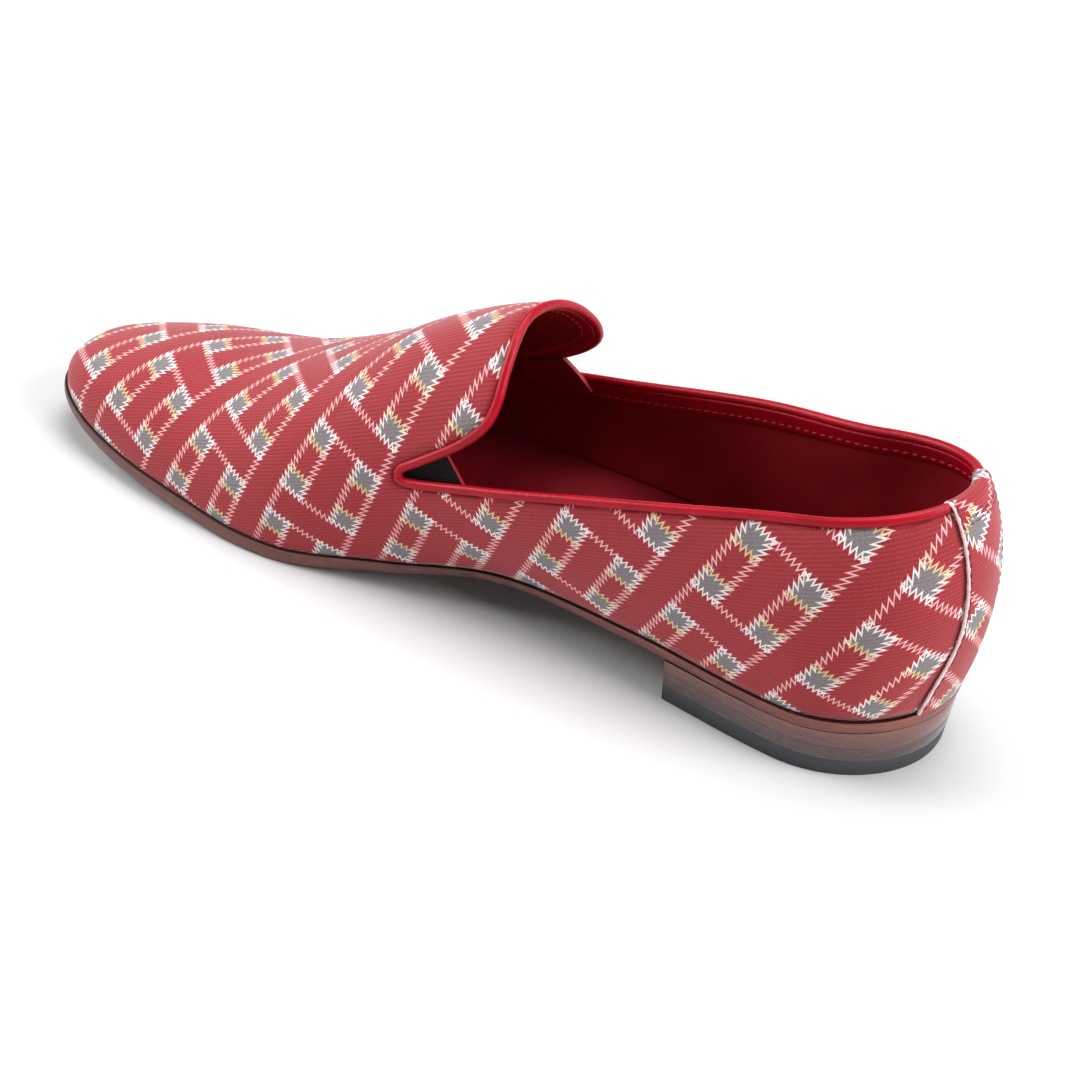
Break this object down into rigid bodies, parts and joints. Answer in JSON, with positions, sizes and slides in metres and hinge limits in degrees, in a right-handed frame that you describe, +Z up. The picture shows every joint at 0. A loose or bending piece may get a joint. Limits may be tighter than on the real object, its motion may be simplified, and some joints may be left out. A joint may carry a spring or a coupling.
{
  "type": "loafer",
  "caption": "Right-foot slip-on loafer with a one-piece woven upper, piped collar, rounded tongue, elastic side notches, thin leather sole and low stacked heel.",
  "frame": {"origin": "middle of the shoe's footprint, on the floor", "axes": "+X toward the toe, +Y toward the inner side of the foot, +Z up"},
  "size_m": [0.303, 0.0944, 0.0884],
  "materials": {
    "upper_fabric": "woven red cloth with a lattice of grey squares and pale zigzag lines",
    "binding_leather": "smooth bright red leather piping",
    "lining_leather": "dark red lining leather",
    "sole_leather": "burnished brown edge",
    "heel_leather": "burnished stacked leather with fine lines",
    "heel_rubber": "matt dark rubber",
    "gore_elastic": "black ribbed elastic"
  },
  "bodies": {
    "root": {"outsole": "sole_leather", "heel_lift_upper": "heel_leather", "heel_lift_lower": "heel_leather", "top_piece": "heel_rubber", "insole": "lining_leather", "upper": "upper_fabric", "topline_binding": "binding_leather", "back_strip": "upper_fabric", "gore_inner": "gore_elastic", "gore_outer": "gore_elastic"}
  },
  "joints": []
}
